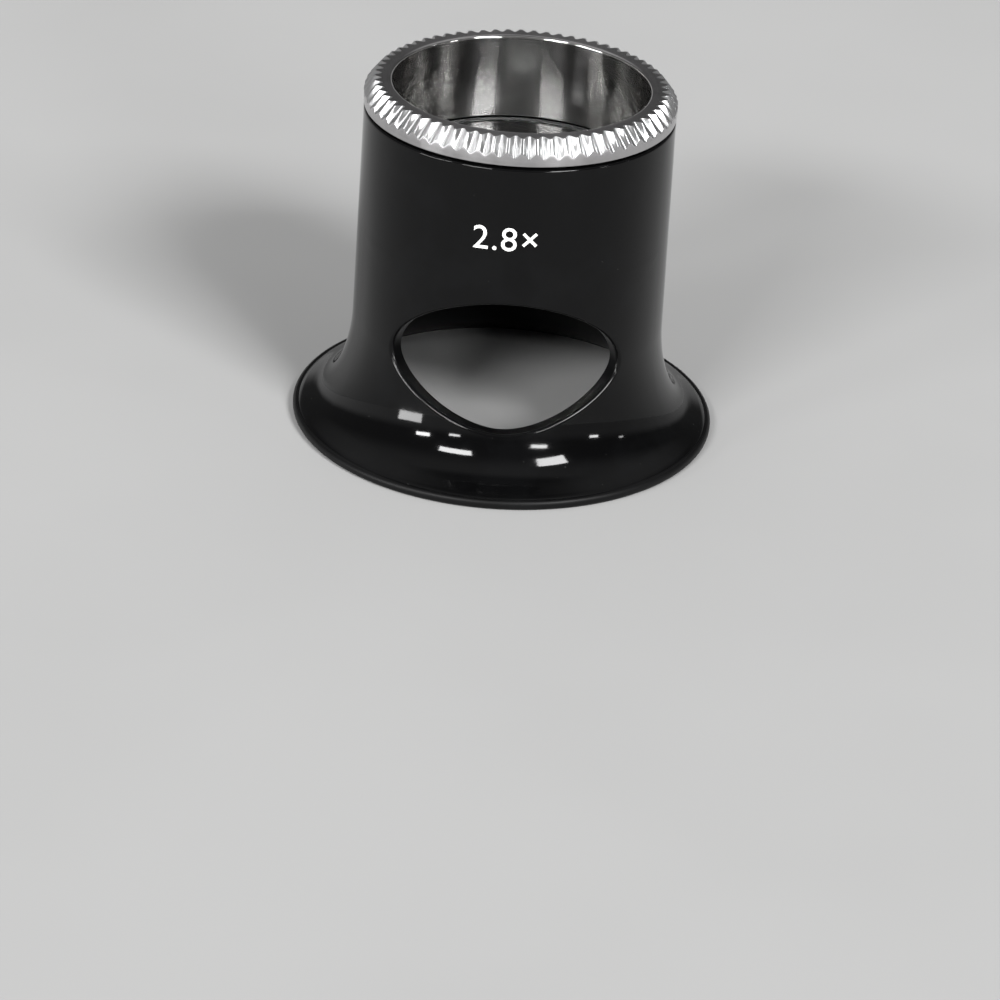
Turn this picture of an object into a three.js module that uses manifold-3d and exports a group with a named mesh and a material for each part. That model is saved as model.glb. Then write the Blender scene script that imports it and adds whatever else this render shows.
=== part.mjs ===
// Watch repairer's eye loupe: a moulded eyecup with a viewing window, a biconvex lens,
// and the knurled aluminium ring that screws into the cup and holds the lens on its ledge.
// Millimetres, +Z up. The origin is the middle of the foot, on the plane that the cup stands on.
import * as THREE from "three";
import { mergeVertices } from "three/addons/utils/BufferGeometryUtils.js";
import Module from "manifold-3d";

// Fits and clearances
const seatClearance = 0.3;
const lensPlay = 0.3;
const threadFit = 0.12;
const cutOverrun = 1;

// Eyecup, outside: a rolled rim, a flared brim and a barrel that narrows a little towards the top
const rimRadius = 21;
const rimWidestHeight = 0.55;
const footInset = 0.28;
const lipInset = 0.54;
const lipHeight = 1.05;
const rollInsetShare = 0.33;
const rollHeightShare = 0.67;
const brimSlopeDegrees = 25;
const flareReach = 4.4;
const flareHeight = 9.8;
const barrelFootRadius = 15.36;
const barrelTopRadius = 15.07;
const barrelTopEdge = 0.25;
const cupHeight = 32.76;

// Eyecup, inside: the eye hollow, the ledge under the lens and the mouth of the thread
const cupWall = 1.5;
const footWidth = 1.3;
const ledgeRadius = 12;
const ledgeThickness = 0.8;
const mouthChamfer = 0.5;
const mouthLead = 0.25;

// Viewing window, let in from the front: an egg shape with its widest line low down. Its sides lean in,
// and at the eye hollow it has only a share of its width.
const windowWidestHeight = 11.3;
const windowHalfWidth = 11.05;
const windowInnerShare = 0.92;
const windowAbove = 7.64;
const windowBelow = 5.65;
const windowUpperPower = 1.9;
const windowLowerPower = 1.65;

// Lens: crown glass, alike on both faces
const lensRadius = 13;
const lensEdge = 2;
const lensBevel = 0.2;
const focalLength = 89;
const glassIndex = 1.523;

// Retaining ring: the knurled head and the bored skirt that carries the thread
const headRadius = 15.1;
const headHeight = 2.44;
const headEdge = 0.1;
const boreRadius = 12.42;
const boreChamfer = 0.2;
const skirtLength = 6.06;
const skirtNose = 1.3;
const noseChamfer = 0.3;
const headRelief = 0.8;

// Knurl: V-grooves rolled across the head's upper corner, deeper between the crests
const knurlTeeth = 68;
const crestReach = 0.92;
const grooveReach = 1.58;
const crestDrop = 1.12;
const grooveDrop = 1.57;

// Thread: right-hand, single start, sixty-degree flanks with narrow flats
const threadPitch = 1;
const threadRadius = 14;
const threadDepth = 0.5;
const threadCrestFlat = 0.14;
const threadRunout = 0.5;
const flankHalfAngleDegrees = 30;

// Facet counts
const cupColumns = 60;
const lensColumns = 40;
const lensFaceSteps = 6;
const flareSteps = 9;
const windowQuarterSteps = 10;

// Heights that follow from the sizes above, from the head down to the ledge
const headUnder = cupHeight + seatClearance;
const skirtEnd = headUnder - skirtLength;
const lensCurve = 2 * (glassIndex - 1) * focalLength;
const lensTopEdge = skirtEnd - seatClearance - (sagAt(lensRadius) - sagAt(boreRadius));
const pocketRadius = lensRadius + lensPlay;
const lensMiddle = lensTopEdge - lensEdge / 2;
const ledgeTop = lensTopEdge - lensEdge - (sagAt(lensRadius) - sagAt(ledgeRadius)) - seatClearance;

// Thread outlines over one pitch. Each corner has a share of the pitch and a radius. The cup's outline is
// the ring's, set out by the fit square to the crests, roots and flanks.
const flankRun = Math.tan(THREE.MathUtils.degToRad(flankHalfAngleDegrees));
const flankFit = threadFit / Math.cos(THREE.MathUtils.degToRad(flankHalfAngleDegrees));
const ringRootRadius = threadRadius - threadDepth;
const cupCrestRadius = ringRootRadius + threadFit;
const cupRootRadius = threadRadius + threadFit;
const ringThread = threadOutline(threadRadius, ringRootRadius, threadCrestFlat / 2);
const cupCrestHalf = threadCrestFlat / 2 + flankFit - threadFit * flankRun;
const cupThread = threadOutline(cupRootRadius, cupCrestRadius, cupCrestHalf);
const ringThreadLow = skirtEnd + skirtNose;

// How far a lens face falls away from its middle at a radius
function sagAt(radius) {
  return lensCurve - Math.sqrt(lensCurve ** 2 - radius ** 2);
}

// The barrel's outer radius at a height, from its draft
function barrelRadiusAt(height) {
  const share = (height - flareTop()) / (cupHeight - flareTop());
  return THREE.MathUtils.lerp(barrelFootRadius, barrelTopRadius, share);
}

// The flare is a stretch of an ellipse that ends where its slope is the brim's
function flareEnd() {
  const slope = Math.tan(THREE.MathUtils.degToRad(brimSlopeDegrees));
  const angle = Math.atan2(flareHeight, flareReach * slope);
  const radius = barrelFootRadius + flareReach * (1 - Math.cos(angle));
  const height = lipHeight + (rimRadius - lipInset - radius) * slope;
  return { angle, radius, height };
}

// The height at which the flare leaves the barrel
function flareTop() {
  const end = flareEnd();
  return end.height + flareHeight * Math.sin(end.angle);
}

// The cup's outer radius at a height of the flare or the barrel
function outerRadiusAt(height) {
  return flaredRadius(height, barrelRadiusAt(Math.max(height, flareTop())), flareReach, flareHeight);
}

// The eye hollow's radius at a height. Its flare ends at the foot.
function innerRadiusAt(height) {
  const wallRadius = barrelRadiusAt(Math.max(height, flareTop())) - cupWall;
  const { reach, drop } = hollowFlare();
  return flaredRadius(height, wallRadius, reach, drop);
}

// The eye hollow's flare, from the wall's foot to the foot of the cup
function hollowFlare() {
  const { angle } = flareEnd();
  const radius = barrelFootRadius - cupWall;
  const footInner = rimRadius - footInset - footWidth;
  return { radius, reach: (footInner - radius) / (1 - Math.cos(angle)), drop: flareTop() / Math.sin(angle) };
}

// A wall's radius widened by an elliptic flare at a height
function flaredRadius(height, wallRadius, reach, drop) {
  const fall = Math.max(flareTop() - height, 0) / drop;
  return wallRadius + reach * (1 - Math.sqrt(1 - fall ** 2));
}

// Points down an elliptic flare, from the barrel to its end
function flare(radius, top, reach, height) {
  const steps = Array.from({ length: flareSteps + 1 }, (_, i) => (flareEnd().angle * i) / flareSteps);
  return steps.map((angle) => [radius + reach * (1 - Math.cos(angle)), top - height * Math.sin(angle)]);
}

// Corners of one pitch of thread, round the middle of its outer flat
function threadOutline(outer, inner, outerHalfFlat) {
  const flatShare = outerHalfFlat / threadPitch;
  const flankShare = ((outer - inner) * flankRun) / threadPitch;
  return [
    { share: -flatShare, radius: outer },
    { share: flatShare, radius: outer },
    { share: flatShare + flankShare, radius: inner },
    { share: 1 - flatShare - flankShare, radius: inner },
  ];
}

// The thread's radius at any share of a pitch
function outlineRadius(outline, share) {
  const first = outline[0];
  const wrapped = THREE.MathUtils.euclideanModulo(share - first.share, 1) + first.share;
  const corners = [...outline, { share: first.share + 1, radius: first.radius }];
  const next = corners.findIndex((corner) => corner.share > wrapped);
  const [from, to] = [corners[next - 1], corners[next]];
  return THREE.MathUtils.mapLinear(wrapped, from.share, to.share, from.radius, to.radius);
}

// A point at a radius and height, at a share of a turn round the axis
function polar(radius, turnShare, height) {
  const angle = 2 * Math.PI * turnShare;
  return new THREE.Vector3(radius * Math.cos(angle), radius * Math.sin(angle), height);
}

// A closed loop of points round the axis. The place function gives [radius, height] for each index.
function loop(count, place) {
  return Array.from({ length: count }, (_, i) => polar(place(i)[0], i / count, place(i)[1]));
}

// Loops at fixed radii and heights
function plainLoops(count, outline) {
  return outline.map((point) => loop(count, () => point));
}

// Joins two loops of any counts with triangles. The skin faces out where the outline runs up outside.
function addStrip(skin, from, to) {
  let a = 0;
  let b = 0;
  while (a < from.length || b < to.length) {
    const fromNow = from[a % from.length];
    const toNow = to[b % to.length];
    if ((a + 1) / from.length <= (b + 1) / to.length) {
      a += 1;
      skin.push(fromNow, from[a % from.length], toNow);
    } else {
      b += 1;
      skin.push(fromNow, to[b % to.length], toNow);
    }
  }
}

// Joins a row of loops one after the other
function addStrips(skin, loops) {
  loops.slice(1).forEach((next, i) => addStrip(skin, loops[i], next));
}

// A helical thread surface between two heights. Its rows climb with the helix, and its ends are cut off
// square. The trim function limits the radius near the ends. The return value is the two end loops.
function addThread(skin, { outline, columns, low, high, start, trim, facesOut }) {
  const firstTurn = Math.floor((low - start) / threadPitch) - 2;
  const lastTurn = Math.ceil((high - start) / threadPitch) + 1;
  const rows = [];
  for (let turn = firstTurn; turn <= lastTurn; turn += 1) {
    outline.forEach((corner) => rows.push({ turn, corner }));
  }
  const point = (column, row) => {
    const turnShare = (column % columns) / columns;
    const turn = row.turn + Math.floor(column / columns);
    const free = start + threadPitch * (turn + row.corner.share + turnShare);
    const height = THREE.MathUtils.clamp(free, low, high);
    const cutShare = (height - start) / threadPitch - turnShare;
    const radius = height === free ? row.corner.radius : outlineRadius(outline, cutShare);
    return polar(trim(radius, height), turnShare, height);
  };
  for (let column = 0; column < columns; column += 1) {
    for (let i = 0; i + 1 < rows.length; i += 1) {
      const [a, b] = [point(column, rows[i]), point(column + 1, rows[i])];
      const [c, d] = [point(column + 1, rows[i + 1]), point(column, rows[i + 1])];
      skin.push(...(facesOut ? [a, b, d, b, c, d] : [a, d, b, b, d, c]));
    }
  }
  const endLoop = (row) => Array.from({ length: columns }, (_, column) => point(column, row));
  return { lower: endLoop(rows[0]), upper: endLoop(rows.at(-1)) };
}

// Welds a geometry's corners by position alone and drops the triangles that close up to nothing
function weld(geometry) {
  geometry.deleteAttribute("normal");
  geometry.deleteAttribute("uv");
  const merged = mergeVertices(geometry);
  const index = merged.index.array;
  const kept = [];
  for (let i = 0; i < index.length; i += 3) {
    const [a, b, c] = [index[i], index[i + 1], index[i + 2]];
    if (a !== b && b !== c && c !== a) kept.push(a, b, c);
  }
  merged.setIndex(kept);
  return merged;
}

// A closed geometry from a skin's list of triangle corners
function skinGeometry(skin) {
  const geometry = new THREE.BufferGeometry();
  geometry.setFromPoints(skin);
  return weld(geometry);
}

// Boolean cut
const wasm = await Module();
wasm.setup();

function toSolid(geometry) {
  const vertProperties = new Float32Array(geometry.attributes.position.array);
  const triVerts = new Uint32Array(geometry.index.array);
  return new wasm.Manifold(new wasm.Mesh({ numProp: 3, vertProperties, triVerts }));
}

function toGeometry(solid) {
  const mesh = solid.getMesh();
  const geometry = new THREE.BufferGeometry();
  geometry.setAttribute("position", new THREE.BufferAttribute(new Float32Array(mesh.vertProperties), 3));
  geometry.setIndex(new THREE.BufferAttribute(new Uint32Array(mesh.triVerts), 1));
  return geometry;
}

// The window's outline seen from the front, as two half superellipses that meet at the widest line
function windowOutline() {
  const steps = 4 * windowQuarterSteps;
  return Array.from({ length: steps }, (_, i) => {
    const angle = (2 * Math.PI * i) / steps;
    const upper = i <= steps / 2;
    const power = 2 / (upper ? windowUpperPower : windowLowerPower);
    const reach = upper ? windowAbove : windowBelow;
    const across = Math.sign(Math.cos(angle)) * Math.abs(Math.cos(angle)) ** power;
    const along = Math.sign(Math.sin(angle)) * Math.abs(Math.sin(angle)) ** power;
    return [windowHalfWidth * across, windowWidestHeight + reach * along];
  });
}

// A point of the front half at a radius, an x and a height
function frontPoint(radius, x, height) {
  return new THREE.Vector3(x, -Math.sqrt(radius ** 2 - x ** 2), height);
}

// The window's cutter is ruled between the outlines on the two skins. It runs on past both of them, and
// closes at one point on the axis and one in front of the rim.
function windowCutter() {
  const rules = windowOutline().map(([x, height]) => {
    const inner = frontPoint(innerRadiusAt(height), windowInnerShare * x, height);
    const outer = frontPoint(outerRadiusAt(height), x, height);
    const overrun = outer.clone().sub(inner).setLength(cutOverrun);
    return [inner.sub(overrun), outer.add(overrun)];
  });
  const back = new THREE.Vector3(0, 0, windowWidestHeight);
  const front = new THREE.Vector3(0, -rimRadius - cutOverrun, windowWidestHeight);
  const skin = [];
  addStrips(skin, [[back], rules.map(([inner]) => inner), rules.map(([, outer]) => outer), [front]]);
  return toSolid(skinGeometry(skin));
}

// Eyecup
function eyecupGeometry() {
  const top = flareTop();
  const footRadius = rimRadius - footInset;
  const hollow = hollowFlare();
  const rollHeight = THREE.MathUtils.lerp(rimWidestHeight, lipHeight, rollHeightShare);
  const outside = [
    [footRadius - footWidth, 0],
    [footRadius, 0],
    [rimRadius, rimWidestHeight],
    [rimRadius - lipInset * rollInsetShare, rollHeight],
    [rimRadius - lipInset, lipHeight],
    ...flare(barrelFootRadius, top, flareReach, flareHeight).reverse(),
    [barrelRadiusAt(cupHeight - barrelTopEdge), cupHeight - barrelTopEdge],
    [barrelTopRadius - barrelTopEdge, cupHeight],
    [cupRootRadius + mouthLead, cupHeight],
  ];
  const hollowTop = ledgeTop - ledgeThickness - (innerRadiusAt(ledgeTop) - ledgeRadius);
  const threadLow = ringThreadLow - threadRunout;
  const inside = [
    [pocketRadius, threadLow],
    [pocketRadius, ledgeTop],
    [ledgeRadius, ledgeTop],
    [ledgeRadius, ledgeTop - ledgeThickness],
    [innerRadiusAt(hollowTop), hollowTop],
    ...flare(hollow.radius, top, hollow.reach, hollow.drop),
  ];
  const skin = [];
  const outer = plainLoops(cupColumns, outside);
  const inner = plainLoops(cupColumns, inside);
  const thread = addThread(skin, {
    outline: cupThread,
    columns: cupColumns,
    low: threadLow,
    high: cupHeight - mouthChamfer,
    start: 0,
    trim: (radius) => radius,
    facesOut: false,
  });
  addStrips(skin, [...outer, thread.upper]);
  addStrips(skin, [thread.lower, ...inner]);
  return toGeometry(toSolid(skinGeometry(skin)).subtract(windowCutter()));
}

// Lens, about its own middle
function lensGeometry() {
  const half = lensEdge / 2;
  const faceRadius = lensRadius - lensBevel;
  const face = Array.from({ length: lensFaceSteps + 1 }, (_, i) => (faceRadius * i) / lensFaceSteps);
  const rise = (radius) => half + sagAt(lensRadius) - sagAt(radius);
  const lower = face.map((radius) => new THREE.Vector2(radius, -rise(radius)));
  const upper = face.map((radius) => new THREE.Vector2(radius, rise(radius))).reverse();
  const edge = half - lensBevel;
  const rim = [new THREE.Vector2(lensRadius, -edge), new THREE.Vector2(lensRadius, edge)];
  const geometry = new THREE.LatheGeometry([...lower, ...rim, ...upper], lensColumns);
  geometry.rotateX(Math.PI / 2);
  return weld(geometry);
}

// Retaining ring, with its origin on the underside of the head
function ringGeometry() {
  const bandColumns = 2 * knurlTeeth;
  const threadLow = ringThreadLow - headUnder;
  const noseRadius = pocketRadius - seatClearance;
  const skirt = [
    [boreRadius, -skirtLength],
    [noseRadius - noseChamfer, -skirtLength],
    [noseRadius, noseChamfer - skirtLength],
    [noseRadius, threadLow - noseChamfer],
  ];
  const band = [
    [headRadius - headEdge, 0],
    [headRadius, headEdge],
  ];
  const bore = [
    [boreRadius + boreChamfer, headHeight],
    [boreRadius, headHeight - boreChamfer],
    [boreRadius, -skirtLength],
  ];
  const nearestEnd = (height) => Math.min(height - threadLow, -headRelief - height);
  const isGroove = (index) => index % 2 === 1;
  const bandEdge = (i) => [headRadius, headHeight - (isGroove(i) ? grooveDrop : crestDrop)];
  const landEdge = (i) => [headRadius - (isGroove(i) ? grooveReach : crestReach), headHeight];
  const skin = [];
  const thread = addThread(skin, {
    outline: ringThread,
    columns: knurlTeeth,
    low: threadLow,
    high: -headRelief,
    start: -headUnder,
    trim: (radius, height) => Math.min(radius, ringRootRadius + nearestEnd(height)),
    facesOut: true,
  });
  addStrips(skin, [...plainLoops(knurlTeeth, skirt), thread.lower]);
  const neck = plainLoops(knurlTeeth, [[ringRootRadius, 0]]);
  const knurl = [loop(bandColumns, bandEdge), loop(bandColumns, landEdge)];
  const head = [...plainLoops(bandColumns, band), ...knurl];
  addStrips(skin, [thread.upper, ...neck, ...head, ...plainLoops(knurlTeeth, bore)]);
  return skinGeometry(skin);
}

// A named mesh with flat-shaded facets
function piece(name, geometry, height, finish) {
  geometry.computeVertexNormals();
  const mesh = new THREE.Mesh(geometry, new THREE.MeshStandardMaterial(finish));
  mesh.name = name;
  mesh.position.z = height;
  return mesh;
}

// Finishes
const blackPlastic = { color: 0x0b0b0c, roughness: 0.18, metalness: 0 };
const turnedAluminium = { color: 0xd2d2d6, roughness: 0.28, metalness: 1 };
const crownGlass = { color: 0xf2f7f5, roughness: 0.02, metalness: 0, transparent: true, opacity: 0.3 };

// Assembly
const loupe = new THREE.Group();
loupe.add(piece("eyecup", eyecupGeometry(), 0, blackPlastic));
loupe.add(piece("lens", lensGeometry(), lensMiddle, crownGlass));
loupe.add(piece("retaining_ring", ringGeometry(), headUnder, turnedAluminium));

export default loupe;
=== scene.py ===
"""A watch repairer's eye loupe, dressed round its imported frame.

The loupe is a black moulded eyecup with a viewing window, a crown-glass lens and a knurled aluminium ring.
The frame gives the real places and outer sizes. Sizes here are in millimetres, and meshes are in metres.
"""

import logging
import math
from collections.abc import Callable, Iterable, Sequence
from dataclasses import dataclass
from enum import Enum
from functools import partialmethod

import bmesh
import bpy
import numpy as np
from bpy.types import ID, Material, Mesh, NodeSocket, NodeTree, Object
from mathutils import Matrix, Vector


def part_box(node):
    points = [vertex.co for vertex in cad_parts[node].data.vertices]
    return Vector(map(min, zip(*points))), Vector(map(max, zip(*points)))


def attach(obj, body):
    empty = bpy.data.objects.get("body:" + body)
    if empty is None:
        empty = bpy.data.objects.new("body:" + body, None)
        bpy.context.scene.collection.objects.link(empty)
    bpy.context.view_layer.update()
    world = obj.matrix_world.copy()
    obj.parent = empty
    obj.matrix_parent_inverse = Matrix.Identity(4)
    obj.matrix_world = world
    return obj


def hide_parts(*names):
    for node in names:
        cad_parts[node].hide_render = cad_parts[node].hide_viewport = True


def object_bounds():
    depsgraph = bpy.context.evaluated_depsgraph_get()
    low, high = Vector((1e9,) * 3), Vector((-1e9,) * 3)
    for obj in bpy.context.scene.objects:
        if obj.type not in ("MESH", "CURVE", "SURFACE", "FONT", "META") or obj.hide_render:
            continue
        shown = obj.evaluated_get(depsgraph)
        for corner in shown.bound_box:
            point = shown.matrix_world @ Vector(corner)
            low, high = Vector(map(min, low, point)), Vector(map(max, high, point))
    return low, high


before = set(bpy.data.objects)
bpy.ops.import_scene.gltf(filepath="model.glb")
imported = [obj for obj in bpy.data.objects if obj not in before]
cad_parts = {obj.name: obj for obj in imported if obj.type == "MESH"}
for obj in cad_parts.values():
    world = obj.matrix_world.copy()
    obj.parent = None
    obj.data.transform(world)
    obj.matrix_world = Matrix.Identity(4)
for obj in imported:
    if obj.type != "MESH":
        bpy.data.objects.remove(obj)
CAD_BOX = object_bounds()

MM = 0.001
LOG = logging.getLogger("loupe")

SAME_PLACE = 1e-7  # metres: points closer than this are one
STRAIGHT = 1e-6  # radians: a corner this flat stays as it is
OFF_AXIS = 1e-4  # millimetres: keeps the angle defined on the axis
THREAD_END_SIZE = 0.02  # how much of its size a thread's ridge has at its two ends

Array = np.ndarray
Noise = tuple[float, ...]  # size, detail and roughness
Pair = tuple[float, float]
Point = tuple[float, float]
Colour = tuple[float, float, float, float]


class Body(Enum):
    """The moving bodies of the frame."""

    EYECUP = "eyecup"
    LENS = "lens"
    RING = "retaining_ring"


class Slot(Enum):
    """The record's material slots."""

    PLASTIC = "black_plastic"
    GLASS = "crown_glass"
    ALUMINIUM = "turned_aluminium"


# Node trees written as expressions


class Term:
    """A number-valued socket of a node tree. An operator on it, or a function of it, adds a Math node."""

    def __init__(self, tree: "Tree", socket: NodeSocket) -> None:
        """Wraps an output socket of a tree."""
        self.tree = tree
        self.socket = socket

    def maths(self, operation: str, *others: "Term | float") -> "Term":
        """The result of a Math node on this and then the others."""
        return self.tree.node("ShaderNodeMath", {"operation": operation}, dict(enumerate((self, *others))))[0]

    def after(self, operation: str, other: float) -> "Term":
        """The result of a Math node on a number and then this."""
        return self.tree.node("ShaderNodeMath", {"operation": operation}, {0: other, 1: self})[0]

    __add__ = partialmethod(maths, "ADD")
    __sub__ = partialmethod(maths, "SUBTRACT")
    __mul__ = partialmethod(maths, "MULTIPLY")
    __truediv__ = partialmethod(maths, "DIVIDE")
    __radd__ = partialmethod(after, "ADD")
    __rsub__ = partialmethod(after, "SUBTRACT")
    __rmul__ = partialmethod(after, "MULTIPLY")
    __rtruediv__ = partialmethod(after, "DIVIDE")
    sine = partialmethod(maths, "SINE")
    cosine = partialmethod(maths, "COSINE")
    root = partialmethod(maths, "SQRT")
    least = partialmethod(maths, "MINIMUM")

    def ramp(self, low: float, high: float, start: float = 0.0, end: float = 1.0) -> "Term":
        """A smooth step from start to end as this goes from low to high."""
        feeds = {"Value": self, "From Min": low, "From Max": high, "To Min": start, "To Max": end}
        return self.tree.node("ShaderNodeMapRange", {"interpolation_type": "SMOOTHSTEP"}, feeds)[0]


Feed = Term | float | bool | Sequence[float]
Outputs = dict[str | int, Term]


class Tree:
    """A node tree being built."""

    def __init__(self, nodes: NodeTree) -> None:
        """Wraps a tree."""
        self.nodes = nodes

    def node(self, kind: str, settings: dict | None = None, feeds: dict | None = None) -> Outputs:
        """Adds a node of any type.

        Args:
            kind: the node's type name.
            settings: its properties, which are set first.
            feeds: the value or link of each input, by the input's name or number.

        Returns:
            The node's outputs, by number and by name.
        """
        node = self.nodes.nodes.new(kind)
        for name, value in (settings or {}).items():
            setattr(node, name, value)
        for key, value in (feeds or {}).items():
            self.feed(node.inputs[key], value)
        return {key: Term(self, out) for i, out in enumerate(node.outputs) for key in (i, out.name)}

    def feed(self, socket: NodeSocket, value: Feed) -> None:
        """Links or sets one input.

        Args:
            socket: the input.
            value: a term to link, or a plain value.
        """
        if isinstance(value, Term):
            self.nodes.links.new(value.socket, socket)
        else:
            socket.default_value = value

    def join(self, x: Feed, y: Feed, z: Feed) -> Term:
        """A vector from three numbers."""
        return self.node("ShaderNodeCombineXYZ", None, {"X": x, "Y": y, "Z": z})[0]

    def parts(self, vector: Feed) -> tuple[Term, Term, Term]:
        """The three numbers of a vector."""
        split = self.node("ShaderNodeSeparateXYZ", None, {"Vector": vector})
        return split["X"], split["Y"], split["Z"]

    def scaled(self, vector: Feed, factor: float) -> Term:
        """A vector times a number."""
        feeds = {"Vector": vector, "Scale": factor}
        return self.node("ShaderNodeVectorMath", {"operation": "SCALE"}, feeds)[0]

    def blend(self, factor: Feed, first: Term | Colour, second: Term | Colour) -> Term:
        """Two colours mixed: a Mix node's colours go in at 6 and 7 and come out at 2."""
        return self.node("ShaderNodeMix", {"data_type": "RGBA"}, {"Factor": factor, 6: first, 7: second})[2]

    def noise(self, vector: Feed, scale: float, detail: float = 2.0, roughness: float = 0.5) -> Term:
        """Noise of about 0 to 1. Detail is how many finer layers it has, and roughness their strength."""
        feeds = {"Vector": vector, "Scale": scale, "Detail": detail, "Roughness": roughness}
        return self.node("ShaderNodeTexNoise", None, feeds)["Fac"]


# Finishes


class Surface(Tree):
    """A material's tree, with its shader and the places of the surface's points."""

    def __init__(self, material: Material) -> None:
        """Wraps the tree of a material.

        Args:
            material: a material that uses nodes.
        """
        super().__init__(material.node_tree)
        self.shader = material.node_tree.nodes["Principled BSDF"]
        self.place = self.scaled(self.node("ShaderNodeTexCoord")["Object"], 1 / MM)

    def about_axis(self) -> tuple[Term, Term, Term, Term]:
        """Where a point lies about the optical axis.

        Returns:
            The radius, the height, and the cosine and sine of the angle.
        """
        x, y, z = self.parts(self.place)
        radius = (x * x + y * y).root() + OFF_AXIS
        return radius, z, x / radius, y / radius

    def blotches(self, size: float, detail: float = 2.0, roughness: float = 0.5) -> Term:
        """Noise over the surface, as noise makes it. The size is the blotches' own, in millimetres."""
        return self.noise(self.place, 1 / size, detail, roughness)

    def marked(self, attribute: str) -> Term:
        """A mark that the mesh carries, from 0 to 1."""
        return self.node("ShaderNodeAttribute", {"attribute_name": attribute})["Fac"]

    def bump(self, height: Term, depth: float) -> Term:
        """A normal bumped by a relief of 0 to 1 that is so many millimetres deep."""
        feeds = {"Strength": 1.0, "Distance": depth * MM, "Height": height}
        return self.node("ShaderNodeBump", None, feeds)["Normal"]

    def give(self, inputs: dict[str, Feed]) -> None:
        """Feeds the shader's inputs, by name."""
        for name, value in inputs.items():
            self.feed(self.shader.inputs[name], value)


@dataclass(frozen=True)
class Finish:
    """A surface finish. Each kind wires its own shader."""

    name: str
    roughness: float

    def material(self) -> Material:
        """The finish as a Blender material, made once.

        Returns:
            The material.
        """
        made = bpy.data.materials.get(self.name)
        if not made:
            made = bpy.data.materials.new(self.name)
            made.use_nodes = True
            self.wire(Surface(made))
        return made

    def wire(self, surface: Surface) -> None:
        """Wires the shader of a material's tree."""
        raise NotImplementedError


@dataclass(frozen=True)
class GlossBlack(Finish):
    """Moulded black plastic: glossy, with faint flow ripple, handling smears and a little dust."""

    colour: Colour = (0.0014, 0.0014, 0.0015, 1.0)
    bloom: Colour = (0.0030, 0.0031, 0.0034, 1.0)
    dust: Colour = (0.10, 0.10, 0.097, 1.0)
    index: float = 1.46
    specular_level: float = 0.22
    smear_noise: Noise = (5.5, 4.0, 0.62)
    smear_ramp: Pair = (0.47, 0.66)
    smear_roughness: float = 0.025
    cloud_noise: Noise = (1.6, 5.0, 0.7)
    cloud_roughness: float = 0.02
    bloom_shares: Pair = (0.5, 0.25)
    dust_size: float = 0.9
    dust_share: float = 0.045
    dusty_noise: Noise = (2.2, 1.0)
    dusty_ramp: Pair = (0.52, 0.6)
    dust_roughness: float = 0.3
    rim_height: float = 1.1
    rim_fade_share: float = 0.85
    rim_roughness: float = 0.40
    cut_roughness: float = 0.26
    most_roughness: float = 0.7
    ripple_size: float = 3.2
    ripple_depth: float = 0.006
    grain_size: float = 0.22
    grain_depth: float = 0.0006
    mark_share: float = 0.35
    mark_scales: Pair = (2.0, 9.0)

    def wire(self, surface: Surface) -> None:
        """Wires the shader.

        Args:
            surface: the material's tree.
        """
        radius, height, cosine, sine = surface.about_axis()
        smear = surface.blotches(*self.smear_noise).ramp(*self.smear_ramp)
        cloud = surface.blotches(*self.cloud_noise)
        feeds = {"Vector": surface.place, "Scale": 1 / self.dust_size}
        near = surface.node("ShaderNodeTexVoronoi", {"feature": "F1"}, feeds)["Distance"]
        dot = near.ramp(self.dust_share * 0.5, self.dust_share, 1.0, 0.0)
        dots = dot * surface.blotches(*self.dusty_noise).ramp(*self.dusty_ramp)
        bloom = smear * self.bloom_shares[0] + cloud * self.bloom_shares[1]
        base = surface.blend(bloom, self.colour, self.bloom)
        rim = height.ramp(self.rim_height * self.rim_fade_share, self.rim_height, 1.0, 0.0)
        cut = surface.marked("cut_face")
        rough = self.roughness + smear * self.smear_roughness + cloud * self.cloud_roughness
        rough = rough + dots * self.dust_roughness + rim * self.rim_roughness + cut * self.cut_roughness
        round_scale, across_scale = self.mark_scales
        turned = surface.join(cosine * round_scale, sine * round_scale, (height + radius) * across_scale)
        marks = surface.noise(turned, 1.0) * (rim + cut)
        grain = surface.blotches(self.grain_size) * (self.grain_depth / self.ripple_depth)
        relief = surface.blotches(self.ripple_size, 1.0) + grain + marks * self.mark_share
        surface.give({
            "Base Color": surface.blend(dots, base, self.dust),
            "Roughness": rough.least(self.most_roughness),
            "Normal": surface.bump(relief, self.ripple_depth),
            "IOR": self.index,
            "Specular IOR Level": self.specular_level,
        })


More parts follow.
